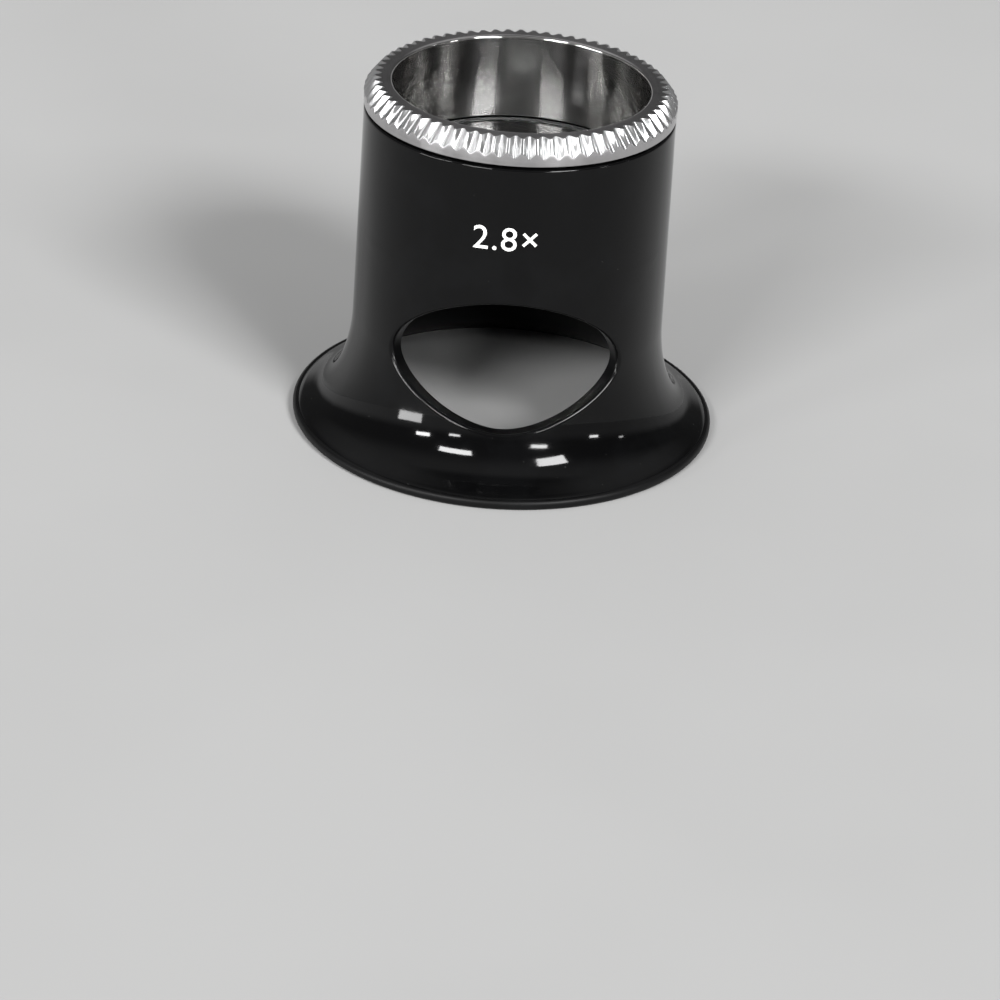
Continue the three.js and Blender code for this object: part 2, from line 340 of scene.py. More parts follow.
@dataclass(frozen=True)
class TurnedAluminium(Finish):
    """Bright aluminium with the tool's fine marks running round the axis, and painted shade darkening the
    bore.
    """

    colour: Colour = (0.53, 0.522, 0.527, 1.0)
    shade: Colour = (0.40, 0.392, 0.397, 1.0)
    knurl_colour: Colour = (0.66, 0.66, 0.665, 1.0)
    # painted shade: a darker colour that stands for the shade inside the bore
    bore_shade_colour: Colour = (0.47, 0.465, 0.455, 1.0)
    bore_shade_share: float = 0.85
    bore_edge: Pair = (12.47, 12.57)
    bore_heights: Pair = (27.6, 32.6)
    bore_roughness: Pair = (0.09, -0.01)
    bore_relief_share: float = 0.2
    mark_pitch: float = 0.11
    mark_scale: float = 1.5
    mark_depth: float = 0.0010
    streak_scales: Pair = (0.8, 1.7)
    streak_roughness: float = 0.04
    patch_noise: Noise = (2.4, 4.0, 0.6)
    patch_roughness: float = 0.03
    stain_shares: Pair = (0.55, 0.45)
    stain_ramp: Pair = (0.42, 0.70)
    knurl_roughness: float = 0.18
    knurl_relief_share: float = 0.9
    dent_size: float = 0.12
    anisotropy: float = 1.0
    anisotropy_turn: float = 0.25

    def wire(self, surface: Surface) -> None:
        """Wires the shader.

        Args:
            surface: the material's tree.
        """
        radius, height, cosine, sine = surface.about_axis()
        across = radius + height
        lines = surface.join(cosine * self.mark_scale, sine * self.mark_scale, across / self.mark_pitch)
        round_scale, across_scale = self.streak_scales
        streaks = surface.join(cosine * round_scale, sine * round_scale, across * across_scale)
        fine = surface.noise(lines, 1.0, 3.0, 0.6)
        broad = surface.noise(streaks, 1.0)
        patch = surface.blotches(*self.patch_noise)
        knurl = surface.marked("knurl_face")
        bore = radius.ramp(*self.bore_edge, 1.0, 0.0)
        stain = (patch * self.stain_shares[0] + broad * self.stain_shares[1]).ramp(*self.stain_ramp)
        plain = surface.blend(stain, self.colour, self.shade)
        # painted shade: the bore's surface is blended towards the darker colour
        turned = surface.blend(bore * self.bore_shade_share, plain, self.bore_shade_colour)
        rough = self.roughness + (broad - 0.5) * self.streak_roughness + (patch - 0.5) * self.patch_roughness
        inside = height.ramp(*self.bore_heights, *self.bore_roughness)
        marks = fine * (1 - bore * (1 - self.bore_relief_share))
        dents = surface.blotches(self.dent_size) * self.knurl_relief_share
        relief = marks * (1 - knurl) + dents * knurl
        surface.give({
            "Base Color": surface.blend(knurl, turned, self.knurl_colour),
            "Roughness": rough + knurl * self.knurl_roughness + bore * inside,
            "Normal": surface.bump(relief, self.mark_depth),
            "Metallic": 1.0,
            "Anisotropic": self.anisotropy,
            "Anisotropic Rotation": self.anisotropy_turn,
        })


@dataclass(frozen=True)
class CrownGlass(Finish):
    """Clear lens glass with polished faces, a ground edge and a trace of dust."""

    colour: Colour = (0.95, 0.97, 0.96, 1.0)
    dulled: Colour = (0.86, 0.90, 0.885, 1.0)
    index: float = 1.523
    ground: Pair = (12.65, 12.75)
    ground_roughness: float = 0.45
    smear_noise: Noise = (3.5, 4.0, 0.6)
    smear_ramp: Pair = (0.5, 0.72)
    smear_roughness: float = 0.006

    def wire(self, surface: Surface) -> None:
        """Wires the shader.

        Args:
            surface: the material's tree.
        """
        edge = surface.about_axis()[0].ramp(*self.ground)
        smear = surface.blotches(*self.smear_noise).ramp(*self.smear_ramp)
        surface.give({
            "Base Color": surface.blend(edge, self.colour, self.dulled),
            "Roughness": self.roughness + smear * self.smear_roughness + edge * self.ground_roughness,
            "Transmission Weight": 1.0,
            "IOR": self.index,
        })


@dataclass(frozen=True)
class PadPrint(Finish):
    """White pad-printing ink, a little thin in places."""

    colour: Colour = (0.84, 0.84, 0.82, 1.0)
    thin: Colour = (0.52, 0.52, 0.51, 1.0)
    thin_noise: Noise = (0.35, 4.0, 0.65)
    thin_ramp: Pair = (0.55, 0.78)
    thin_roughness: float = 0.12
    grain_size: float = 0.12
    relief_depth: float = 0.004

    def wire(self, surface: Surface) -> None:
        """Wires the shader.

        Args:
            surface: the material's tree.
        """
        cover = surface.blotches(*self.thin_noise).ramp(*self.thin_ramp)
        surface.give({
            "Base Color": surface.blend(cover, self.colour, self.thin),
            "Roughness": self.roughness + cover * self.thin_roughness,
            "Normal": surface.bump(surface.blotches(self.grain_size), self.relief_depth),
        })


@dataclass(frozen=True)
class PaleTable(Finish):
    """A plain pale table top with a very faint mottle."""

    colour: Colour = (0.48, 0.48, 0.478, 1.0)
    mottle: Colour = (0.465, 0.465, 0.463, 1.0)
    mottle_noise: Noise = (60.0, 3.0)
    mottle_ramp: Pair = (0.35, 0.65)
    specular_level: float = 0.1

    def wire(self, surface: Surface) -> None:
        """Wires the shader.

        Args:
            surface: the material's tree.
        """
        cloud = surface.blotches(*self.mottle_noise).ramp(*self.mottle_ramp)
        surface.give({
            "Base Color": surface.blend(cloud, self.colour, self.mottle),
            "Roughness": self.roughness,
            "Specular IOR Level": self.specular_level,
        })


BLACK_PLASTIC = GlossBlack("moulded_gloss_black", 0.045)
ALUMINIUM = TurnedAluminium("turned_aluminium_finish", 0.15)
LENS_GLASS = CrownGlass("polished_crown_glass", 0.0)
WHITE_INK = PadPrint("white_pad_print", 0.42)
TABLE_TOP = PaleTable("pale_table", 0.7)


# Outlines and meshes


def fillet(corners: Sequence[tuple[float, float, float]], steps: int) -> list[Point]:
    """Rounds the corners of an open outline.

    Args:
        corners: radius, height and corner rounding of each corner. The first and last stay sharp.
        steps: straight steps in each rounded corner.

    Returns:
        The outline's points.
    """
    points = [corners[0][:2]]
    for before, corner, after in zip(corners, corners[1:], corners[2:]):
        here = np.array(corner[:2])
        back = np.array(before[:2]) - here
        on = np.array(after[:2]) - here
        back /= np.linalg.norm(back)
        on /= np.linalg.norm(on)
        half = math.acos(np.clip(back @ on, -1, 1)) / 2
        if corner[2] == 0 or abs(half - math.pi / 2) < STRAIGHT:
            points.append(tuple(here))
            continue
        reach = corner[2] / math.tan(half)
        middle = here + (back + on) / np.linalg.norm(back + on) * corner[2] / math.sin(half)
        start = here + back * reach - middle
        sweep = math.pi - 2 * half
        turn = math.copysign(sweep, start[0] * (here - middle)[1] - start[1] * (here - middle)[0])
        for i in range(steps + 1):
            angle = turn * i / steps
            x = start[0] * math.cos(angle) - start[1] * math.sin(angle)
            y = start[0] * math.sin(angle) + start[1] * math.cos(angle)
            points.append((middle[0] + x, middle[1] + y))
    points.append(corners[-1][:2])
    return points


def densify(points: Sequence[Point], longest: float, hold: float = 0.1) -> list[Point]:
    """Splits an outline's long steps, with a point close to each end so that flats stay flat when shaded.

    Args:
        points: the outline.
        longest: the longest step that is left.
        hold: how far from its ends a long step gets a point.

    Returns:
        The outline with more points.
    """
    dense = [tuple(points[0])]
    for start, end in zip(points, points[1:]):
        length = math.dist(start, end)
        stops = [0.0, hold, length - hold, length] if length > 4 * hold else [0.0, length]
        for near, far in zip(stops, stops[1:]):
            count = max(1, math.ceil((far - near) / longest))
            for i in range(1, count + 1):
                share = (near + (far - near) * i / count) / length
                dense.append(tuple(a + (b - a) * share for a, b in zip(start, end)))
    return dense


def between(start: Point, end: Point, count: int) -> list[Point]:
    """The ends of even steps from one point to another."""
    return [tuple(a + (b - a) * i / count for a, b in zip(start, end)) for i in range(1, count + 1)]


def unit(rows: Array) -> Array:
    """Vectors made 1 long."""
    return rows / np.linalg.norm(rows, axis=1)[:, None]


def square_to(rows: Array, lines: Array) -> Array:
    """Unit vectors: the rows turned square to unit vectors, each in the plane of its pair."""
    return unit(rows - (rows * lines).sum(1)[:, None] * lines)


def runs(steps: Array) -> Array:
    """How far along a line each of its points lies, from the lengths of its steps."""
    return np.concatenate([[0], np.cumsum(steps)])


def add_object(name: str, data: ID) -> Object:
    """Makes an object at the origin and puts it in the scene.

    Args:
        name: the object's name.
        data: its mesh, text, light or camera.

    Returns:
        The object.
    """
    made = bpy.data.objects.new(name, data)
    bpy.context.scene.collection.objects.link(made)
    return made


def mesh_object(
    name: str, points: Sequence[Sequence[float]], faces: Sequence[Sequence[int]], edges: Sequence[Point] = ()
) -> Object:
    """Makes an object at the origin from points in millimetres.

    Args:
        name: the object's name.
        points: places in the frame.
        faces: corners of each face.
        edges: ends of each edge, where there are no faces.

    Returns:
        The object.
    """
    mesh = bpy.data.meshes.new(name)
    mesh.from_pydata([tuple(MM * c for c in p) for p in points], edges, faces)
    return add_object(name, mesh)


def outline_object(name: str, points: Sequence[Point], closed: bool) -> Object:
    """An outline as a mesh of edges, for the trees to carry.

    Args:
        name: the object's name.
        points: the outline in millimetres.
        closed: whether the last point joins the first.

    Returns:
        The object.
    """
    count = len(points)
    edges = [(i, (i + 1) % count) for i in range(count if closed else count - 1)]
    return mesh_object(name, [(x, y, 0.0) for x, y in points], [], edges)


def settled(source: Object, name: str) -> Object:
    """Turns a text, or an object with a modifier, into a plain mesh.

    Args:
        source: the object, which is used up.
        name: the new object's name.

    Returns:
        The new object, with no modifier.
    """
    bpy.context.view_layer.update()
    evaluated = source.evaluated_get(bpy.context.evaluated_depsgraph_get())
    mesh = bpy.data.meshes.new_from_object(evaluated)
    bpy.data.objects.remove(source)
    mesh.name = name
    return add_object(name, mesh)


def tidy(piece: Object, crease_degrees: float) -> None:
    """Welds a mesh, turns its faces outwards and shades it smooth between creases.

    Args:
        piece: the object.
        crease_degrees: edges that bend by more than this are sharp.
    """
    shape = bmesh.new()
    shape.from_mesh(piece.data)
    loose = [v for v in shape.verts if not v.link_faces]
    bmesh.ops.delete(shape, geom=loose, context="VERTS")
    bmesh.ops.remove_doubles(shape, verts=shape.verts, dist=SAME_PLACE)
    bmesh.ops.recalc_face_normals(shape, faces=shape.faces)
    shape.to_mesh(piece.data)
    shape.free()
    for polygon in piece.data.polygons:
        polygon.use_smooth = True
    piece.data.set_sharp_from_angle(angle=math.radians(crease_degrees))


def dress(piece: Object, body: Body, finish: Finish, replaced: str | None = None) -> None:
    """Gives a finished piece its finish and its body, and hides the CAD node that it stands for.

    Args:
        piece: the object.
        body: what it rides on.
        finish: its finish.
        replaced: the CAD node that it stands for, if any.
    """
    piece.data.materials.clear()
    piece.data.materials.append(finish.material())
    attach(piece, body.value)
    if replaced:
        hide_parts(replaced)
    triangles = sum(len(p.vertices) - 2 for p in piece.data.polygons)
    LOG.info("%s: %d triangles on %s", piece.name, triangles, body.value)


# Geometry node trees


class GeometryTree(Tree):
    """A geometry node tree with named inputs, ending in Realize Instances and Set Material."""

    def __init__(self, name: str, inputs: dict[str, str]) -> None:
        """Starts a tree.

        Args:
            name: the tree's name.
            inputs: each input's name and socket type, after the geometry.
        """
        super().__init__(bpy.data.node_groups.new(name, "GeometryNodeTree"))
        self.nodes.interface.new_socket("Geometry", in_out="INPUT", socket_type="NodeSocketGeometry")
        for title, kind in {**inputs, "Material": "NodeSocketMaterial"}.items():
            self.nodes.interface.new_socket(title, in_out="INPUT", socket_type=kind)
        self.nodes.interface.new_socket("Geometry", in_out="OUTPUT", socket_type="NodeSocketGeometry")
        self.given = self.node("NodeGroupInput")

    def welded(self, geometry: Term) -> Term:
        """The geometry with its points merged that lie within the tree's Weld input of each other."""
        feeds = {"Geometry": geometry, "Distance": self.given["Weld"]}
        return self.node("GeometryNodeMergeByDistance", None, feeds)[0]

    def close(self, geometry: Term) -> NodeTree:
        """Realizes and paints the geometry and ends the tree.

        Args:
            geometry: what the tree has made.

        Returns:
            The finished tree.
        """
        real = self.node("GeometryNodeRealizeInstances", None, {"Geometry": geometry})[0]
        feeds = {"Geometry": real, "Material": self.given["Material"]}
        painted = self.node("GeometryNodeSetMaterial", None, feeds)[0]
        self.node("NodeGroupOutput", None, {0: painted})
        return self.nodes


def lathe_tree() -> NodeTree:
    """A tree that turns an outline, drawn as radius and height, into a round body about +Z.

    Returns:
        The tree, with inputs for the columns and the welding distance.
    """
    sizes = {"Columns": "NodeSocketInt", "Path Radius": "NodeSocketFloat", "Weld": "NodeSocketFloat"}
    tree = GeometryTree("turn_outline", sizes)
    given = tree.given
    radius, height, _ = tree.parts(tree.node("GeometryNodeInputPosition")[0])
    local = tree.join(radius - given["Path Radius"], height * -1.0, 0.0)
    placed = tree.node("GeometryNodeSetPosition", None, {"Geometry": given["Geometry"], "Position": local})[0]
    outline = tree.node("GeometryNodeMeshToCurve", None, {"Mesh": placed})[0]
    feeds = {"Resolution": given["Columns"], "Radius": given["Path Radius"]}
    path = tree.node("GeometryNodeCurvePrimitiveCircle", None, feeds)["Curve"]
    upright = tree.node("GeometryNodeSetCurveNormal", {"mode": "Z_UP"}, {"Curve": path})[0]
    skin = tree.node("GeometryNodeCurveToMesh", None, {"Curve": upright, "Profile Curve": outline})[0]
    return tree.close(tree.welded(skin))


def repeat_tree() -> NodeTree:
    """A tree that repeats one sector of a ring round +Z and welds the copies.

    Returns:
        The tree, with inputs for the count and the welding distance.
    """
    tree = GeometryTree("repeat_sector", {"Count": "NodeSocketInt", "Weld": "NodeSocketFloat"})
    points = tree.node("GeometryNodePoints", None, {"Count": tree.given["Count"]})[0]
    angle = tree.node("GeometryNodeInputIndex")[0] * (2 * math.pi) / tree.given["Count"]
    turn = tree.node("FunctionNodeEulerToRotation", None, {"Euler": tree.join(0.0, 0.0, angle)})[0]
    feeds = {"Points": points, "Instance": tree.given["Geometry"], "Rotation": turn}
    copies = tree.node("GeometryNodeInstanceOnPoints", None, feeds)[0]
    real = tree.node("GeometryNodeRealizeInstances", None, {"Geometry": copies})[0]
    return tree.close(tree.welded(real))


def thread_tree() -> NodeTree:
    """A tree that carries a ridge's section along a right-hand helix and fades its ends.

    Returns:
        The tree, with inputs for the helix and the fade.
    """
    known = bpy.data.node_groups.get("helical_ridge")
    if known:
        return known
    titles = ("Radius", "Pitch", "Turns", "Foot Height", "First Turn Share", "Fade Share")
    sizes = {title: "NodeSocketFloat" for title in titles}
    tree = GeometryTree("helical_ridge", {"Steps": "NodeSocketInt", **sizes})
    given = tree.given
    line = tree.node("GeometryNodeCurvePrimitiveLine")[0]
    feeds = {"Curve": line, "Count": given["Steps"]}
    steps = tree.node("GeometryNodeResampleCurve", {"mode": "COUNT"}, feeds)[0]
    share = tree.node("GeometryNodeSplineParameter")["Factor"]
    turned = share * given["Turns"]
    angle = (turned + given["First Turn Share"]) * (2 * math.pi)
    height = given["Foot Height"] + turned * given["Pitch"]
    place = tree.join(angle.cosine() * given["Radius"], angle.sine() * given["Radius"], height)
    helix = tree.node("GeometryNodeSetPosition", None, {"Geometry": steps, "Position": place})[0]
    upright = tree.node("GeometryNodeSetCurveNormal", {"mode": "Z_UP"}, {"Curve": helix})[0]
    outline = tree.node("GeometryNodeMeshToCurve", None, {"Mesh": given["Geometry"]})[0]
    fade = (share / given["Fade Share"]).least((1 - share) / given["Fade Share"]).least(1.0)
    size = fade * (1 - THREAD_END_SIZE) + THREAD_END_SIZE
    feeds = {"Curve": upright, "Profile Curve": outline, "Scale": size, "Fill Caps": True}
    return tree.close(tree.node("GeometryNodeCurveToMesh", None, feeds)[0])


def run_tree(
    source: Object, tree: NodeTree, finish: Finish, values: dict[str, float | int]
) -> Object:
    """Runs a geometry tree on an object and returns the plain mesh that it makes.

    Args:
        source: the object whose mesh the tree reads, which is used up.
        tree: the tree.
        finish: the finish that the tree sets.
        values: the tree's other inputs, by name.

    Returns:
        An object of the source's name.
    """
    modifier = source.modifiers.new("shape", "NODES")
    modifier.node_group = tree
    given = {**values, "Material": finish.material()}
    for item in tree.interface.items_tree:
        if item.in_out == "INPUT" and item.name in given:
            modifier[item.identifier] = given[item.name]
    return settled(source, source.name)


# Sub-assemblies


@dataclass(frozen=True)
class Thread:
    """The screw thread that joins the ring and the cup: one ridge on each, half a pitch apart."""

    pitch: float = 1.0
    ring_root: float = 13.5
    cup_root: float = 14.12
    depth: float = 0.5
    crest_width: float = 0.14
    flank_half_degrees: float = 30.0
    root_sink: float = 0.03
    steps_per_turn: int = 96
    fade_share: float = 0.06
    start_steps: int = 8
    crease_degrees: float = 25.0

    def ridge(
        self, name: str, finish: Finish, root: float, outwards: bool, low: float, high: float
    ) -> Object:
        """Makes one helical ridge.

        Args:
            name: the piece's name.
            finish: its finish.
            root: the radius of the wall that it stands on.
            outwards: whether it stands out from the axis.
            low: the lowest height that the ridge reaches.
            high: the highest.

        Returns:
            The ridge.
        """
        sign, phase = (1, 0.0) if outwards else (-1, 0.5)
        half_crest = self.crest_width / 2
        half_foot = half_crest + self.depth * math.tan(math.radians(self.flank_half_degrees))
        foot, crest = -self.root_sink * sign, self.depth * sign
        section = [(foot, -half_foot), (crest, -half_crest), (crest, half_crest), (foot, half_foot)]
        start = math.ceil((low + half_foot) / self.pitch * self.start_steps) / self.start_steps
        turns = (high - half_foot) / self.pitch - start
        values = {
            "Steps": round(turns * self.steps_per_turn),
            "Radius": root * MM,
            "Pitch": self.pitch * MM,
            "Turns": turns,
            "Foot Height": start * self.pitch * MM,
            "First Turn Share": start - phase,
            "Fade Share": self.fade_share,
        }
        made = run_tree(outline_object(name, section, True), thread_tree(), finish, values)
        tidy(made, self.crease_degrees)
        return made


class Skin:
    """One skin of the moulding, measured along its run between two heights."""

    table_steps: int = 3000
    slope_reach: float = 0.01

    def __init__(self, radius_at: Callable[[Array], Array], low: float, high: float) -> None:
        """Measures the skin.

        Args:
            radius_at: its radius at a height.
            low: the lowest height.
            high: the highest.
        """
        self.radius_at = radius_at
        self.heights = np.linspace(low, high, self.table_steps)
        self.runs = runs(np.hypot(np.diff(self.heights), np.diff(radius_at(self.heights))))

    def run_of(self, height: Array) -> Array:
        """How far along the skin a height is."""
        return np.interp(height, self.heights, self.runs)

    def height_of(self, run: Array) -> Array:
        """The height that far along the skin."""
        return np.interp(run, self.runs, self.heights)

    def points(self, heights: Iterable[float]) -> list[Point]:
        """The skin's radius and height at some heights."""
        return [(float(self.radius_at(z)), z) for z in heights]

    def rows(self, count: int) -> list[Point]:
        """The ends of evenly spaced steps along the skin, as radius and height."""
        return self.points(self.height_of(np.linspace(0, self.runs[-1], count + 1)))

    def from_front(self, outline: Array) -> Array:
        """Points of an outline seen from the front, set back onto the skin."""
        x, z = outline.T
        return np.stack([x, -np.sqrt(self.radius_at(z) ** 2 - x**2), z], 1)

    def round_about(self, angle: Array, run: Array) -> Array:
        """Points at some angles and places along the skin.

        Args:
            angle: the angles from the front.
            run: how far along the skin each point lies.

        Returns:
            The points.
        """
        z = self.height_of(run)
        radius = self.radius_at(z)
        return np.stack([radius * np.sin(angle), -radius * np.cos(angle), z], 1)

    def edge(
        self, outline: Array, away: Array, wall: Array, rounding: float, steps: int
    ) -> Array:
        """The rounded edge where a wall through the moulding meets the skin.

        Args:
            outline: the wall's outline on the skin, seen from the front.
            away: the outline's outward directions.
            wall: the directions in which the wall leaves the skin.
            rounding: the edge's radius.
            steps: straight steps across the edge.

        Returns:
            Rows of points, from the skin to the wall.
        """
        x, z = outline.T
        reach = self.slope_reach
        slope = (self.radius_at(z + reach) - self.radius_at(z - reach)) / (2 * reach)
        place = self.from_front(outline)
        rise = (self.radius_at(z) * slope * away[:, 1] - x * away[:, 0]) / place[:, 1]
        run = unit(np.roll(place, -1, 0) - np.roll(place, 1, 0))
        wall = square_to(wall, run)
        along = square_to(np.stack([away[:, 0], rise, away[:, 1]], 1), run)
        half = np.arccos(np.clip((along * wall).sum(1), -1, 1))[:, None] / 2
        middle = place + unit(along + wall) * rounding / np.sin(half)
        start = place + along * rounding / np.tan(half) - middle
        end = place + wall * rounding / np.tan(half) - middle
        sweep = math.pi - 2 * half
        rows = []
        for share in (i / steps for i in range(steps + 1)):
            arm = start * np.sin((1 - share) * sweep) + end * np.sin(share * sweep)
            rows.append(middle + arm / np.sin(sweep))
        return np.array(rows)


class Shell:
    """A mesh that grows from loop to loop."""

    def __init__(self) -> None:
        """Starts with nothing."""
        self.points: list[Array] = []
        self.faces: list[tuple[int, ...]] = []

    def loop(self, places: Iterable[Array]) -> list[int]:
        """Adds points.

        Args:
            places: the points.

        Returns:
            Their numbers.
        """
        first = len(self.points)
        self.points += list(places)
        return list(range(first, len(self.points)))

    def band(self, one: Sequence[int], other: Sequence[int], steps: Iterable[int] | None = None) -> None:
        """Adds the faces between two closed loops.

        Args:
            one: a loop.
            other: the next loop, of as many points.
            steps: which of the faces, where it isn't all.
        """
        for i in range(len(one)) if steps is None else steps:
            j = (i + 1) % len(one)
            self.faces.append((one[i], one[j], other[j], other[i]))


@dataclass
class Eyecup:
    """The black moulding: rim, flared brim, barrel, window, inner ledge and threaded mouth."""

    thread: Thread
    rim_band: float = 1.05
    rim_round: float = 0.48
    rim_upper_share: float = 0.9
    lip_inset: float = 0.54
    lip_depth: float = 0.07
    lip_width: float = 0.09
    lip_round: float = 0.03
    brim_slope_degrees: float = 25.0
    flare_reach: float = 4.4
    flare_height: float = 9.8
    barrel_foot: float = 15.36
    barrel_top: float = 15.07
    top_round: float = 0.25
    wall: float = 1.5
    foot_width: float = 1.58
    hollow_top: float = 21.7
    ledge_radius: float = 12.0
    ledge_foot: float = 23.39
    ledge_top: float = 24.19
    pocket_radius: float = 13.3
    thread_low: float = 27.8
    mouth_chamfer: float = 0.26
    fine_round: float = 0.05
    ledge_round: float = 0.1
    ledge_under_round: float = 0.15
    hollow_round: float = 0.3
    window_widest: float = 11.3
    window_half_width: float = 11.05
    window_inner_share: float = 0.92
    window_above: float = 7.64
    window_below: float = 5.65
    window_upper_power: float = 1.9
    window_lower_power: float = 1.65
    window_round: float = 0.32
    window_soft: float = 0.65
    window_inner_round: float = 0.12
    window_points: int = 4000
    columns: int = 288
    patch_columns: int = 112
    patch_rows: int = 48
    patch_rings: int = 14
    patch_crowding: float = 1.6
    patch_low: float = 2.2
    patch_high: float = 21.2
    inner_patch_drop: float = 0.4
    brim_rows: int = 6
    barrel_rows: int = 17
    foot_rows: int = 5
    rim_longest: float = 0.7
    mouth_longest: float = 0.8
    round_steps: int = 5
    wall_steps: int = 5
    crease_degrees: float = 35.0

    def __post_init__(self) -> None:
        """Reads the outer sizes from the frame and works out the flare and the skins."""
        low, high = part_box("eyecup")
        self.rim_radius = high.x / MM
        self.height = high.z / MM
        self.foot_inner = self.rim_radius - self.foot_width
        self.slope = math.tan(math.radians(self.brim_slope_degrees))
        self.flare_angle = math.atan2(self.flare_height, self.flare_reach * self.slope)
        end_radius = self.barrel_foot + self.flare_reach * (1 - math.cos(self.flare_angle))
        self.lip_radius = self.rim_radius - self.lip_inset
        self.flare_end = self.rim_band + (self.lip_radius - end_radius) * self.slope
        self.flare_top = self.flare_end + self.flare_height * math.sin(self.flare_angle)
        self.outer = Skin(self.outer_radius, self.patch_low, self.patch_high)
        self.inner = Skin(self.inner_radius, self.patch_low, self.patch_high - self.inner_patch_drop)

    def outer_radius(self, height: Array) -> Array:
        """The outer skin's radius, from the brim up.

        Args:
            height: heights above the foot.

        Returns:
            The radii.
        """
        brim = self.lip_radius - (height - self.rim_band) / self.slope
        fall = np.clip((self.flare_top - height) / self.flare_height, 0, 1)
        flare = self.barrel_foot + self.flare_reach * (1 - np.sqrt(1 - fall**2))
        rise = (height - self.flare_top) / (self.height - self.flare_top)
        barrel = self.barrel_foot + (self.barrel_top - self.barrel_foot) * rise
        return np.where(height < self.flare_end, brim, np.where(height < self.flare_top, flare, barrel))

    def inner_radius(self, height: Array) -> Array:
        """The eye hollow's radius.

        Args:
            height: heights above the foot.

        Returns:
            The radii.
        """
        barrel = self.barrel_foot - self.wall
        reach = (self.foot_inner - barrel) / (1 - math.cos(self.flare_angle))
        tall = self.flare_top / math.sin(self.flare_angle)
        fall = np.clip((self.flare_top - height) / tall, 0, 1)
        flare = barrel + reach * (1 - np.sqrt(1 - fall**2))
        return np.where(height < self.flare_top, flare, self.outer_radius(height) - self.wall)

    def window_outline(self, share: float = 1.0) -> tuple[Array, Array]:
        """The window's outline seen from the front, evenly spaced, with its two tips eased.

        Args:
            share: the share of its full width.

        Returns:
            The points, and the outward directions there.
        """
        count = self.window_points
        angle = np.linspace(0, 2 * math.pi, count, endpoint=False)
        upper = np.sin(angle) >= 0
        power = np.where(upper, 2 / self.window_upper_power, 2 / self.window_lower_power)
        reach = np.where(upper, self.window_above, self.window_below)
        across, along = (np.sign(wave) * np.abs(wave) ** power for wave in (np.cos(angle), np.sin(angle)))
        points = np.stack([self.window_half_width * across, self.window_widest + reach * along], 1)
        closed = np.concatenate([points, points[:1]])
        run = runs(np.linalg.norm(np.diff(closed, axis=0), axis=1))
        even = np.linspace(0, run[-1], count, endpoint=False)
        points = np.stack([np.interp(even, run, column) for column in closed.T], 1)
        wave = np.fft.fftfreq(count, run[-1] / count)
        soft = np.exp(-2 * (math.pi * wave * self.window_soft) ** 2)
        points = np.fft.ifft(np.fft.fft(points, axis=0) * soft[:, None], axis=0).real * [share, 1]
        onward = unit(np.roll(points, -1, 0) - np.roll(points, 1, 0))
        return points, np.stack([onward[:, 1], -onward[:, 0]], 1)

    def profile(self) -> tuple[list[Point], tuple[int, int]]:
        """The moulding's section, closed, from the foot up the outside and down the inside.

        Returns:
            Radii and heights, and the first row of the outer and of the inner window patch.
        """
        lip, width, fine = self.lip_radius, self.lip_width, self.lip_round
        rim = fillet(
            [
                (self.foot_inner, 0, 0),
                (self.rim_radius, 0, self.rim_round),
                (self.rim_radius, self.rim_band, self.rim_round * self.rim_upper_share),
                (lip + width, self.rim_band, fine),
                (lip, self.rim_band - self.lip_depth, fine),
                (lip - width, self.rim_band + width * self.slope, 0),
            ],
            self.round_steps,
        )
        straight = self.height - self.top_round * 1.5
        root, fine = self.thread.cup_root, self.fine_round
        top = fillet(
            [
                (*self.outer.points([straight])[0], 0),
                (self.barrel_top, self.height, self.top_round),
                (root + self.mouth_chamfer, self.height, fine),
                (root, self.height - self.mouth_chamfer, fine),
                (root, self.thread_low, 0),
                (self.pocket_radius, self.thread_low, fine),
                (self.pocket_radius, self.ledge_top, self.ledge_round),
                (self.ledge_radius, self.ledge_top, self.ledge_round),
                (self.ledge_radius, self.ledge_foot, self.ledge_under_round),
                (*self.inner.points([self.hollow_top])[0], self.hollow_round),
                (*self.inner.points([self.inner.heights[-1]])[0], 0),
            ],
            self.round_steps,
        )
        rows = densify(rim, self.rim_longest)
        rows += self.outer.points(np.linspace(rim[-1][1], self.patch_low, self.brim_rows + 1)[1:-1])
        first_outer = len(rows)
        rows += self.outer.rows(self.patch_rows)
        rows += self.outer.points(np.linspace(self.patch_high, straight, self.barrel_rows + 1)[1:-1])
        rows += densify(top, self.mouth_longest)[:-1]
        first_inner = len(rows)
        rows += self.inner.rows(self.patch_rows)[::-1]
        rows += self.inner.points(np.linspace(self.patch_low, 0, self.foot_rows + 1)[1:-1])
        return rows, (first_outer, first_inner)

    def border(self) -> list[tuple[int, int]]:
        """The border of the patch that the window lies in.

        Returns:
            The row and column of each of its points, all round.
        """
        rows, columns = self.patch_rows, self.patch_columns
        foot = [(0, c) for c in range(columns)]
        right = [(r, columns) for r in range(rows)]
        top = [(rows, columns - c) for c in range(columns)]
        return foot + right + top + [(rows - r, 0) for r in range(rows)]

    def matched(self, ends: Array, edge: Array) -> Array:
        """Pairs each point of the patch's border with one of the window's edge, by bearing.

        Args:
            ends: angle and run of the border's points.
            edge: angle and run of the edge's points.

        Returns:
            The number of an edge point for each border point.
        """
        centre = np.array([0.0, float(self.outer.run_of(self.window_widest))])
        span = np.array([self.barrel_foot, 1.0])
        wanted, bearing = (np.arctan2(*((places - centre) * span).T[::-1]) for places in (ends, edge))
        bearing = np.unwrap(bearing)
        wanted = bearing[0] + np.mod(wanted - bearing[0], 2 * math.pi)
        return np.floor(np.interp(wanted, bearing, np.arange(len(bearing)))).astype(int) % len(edge)

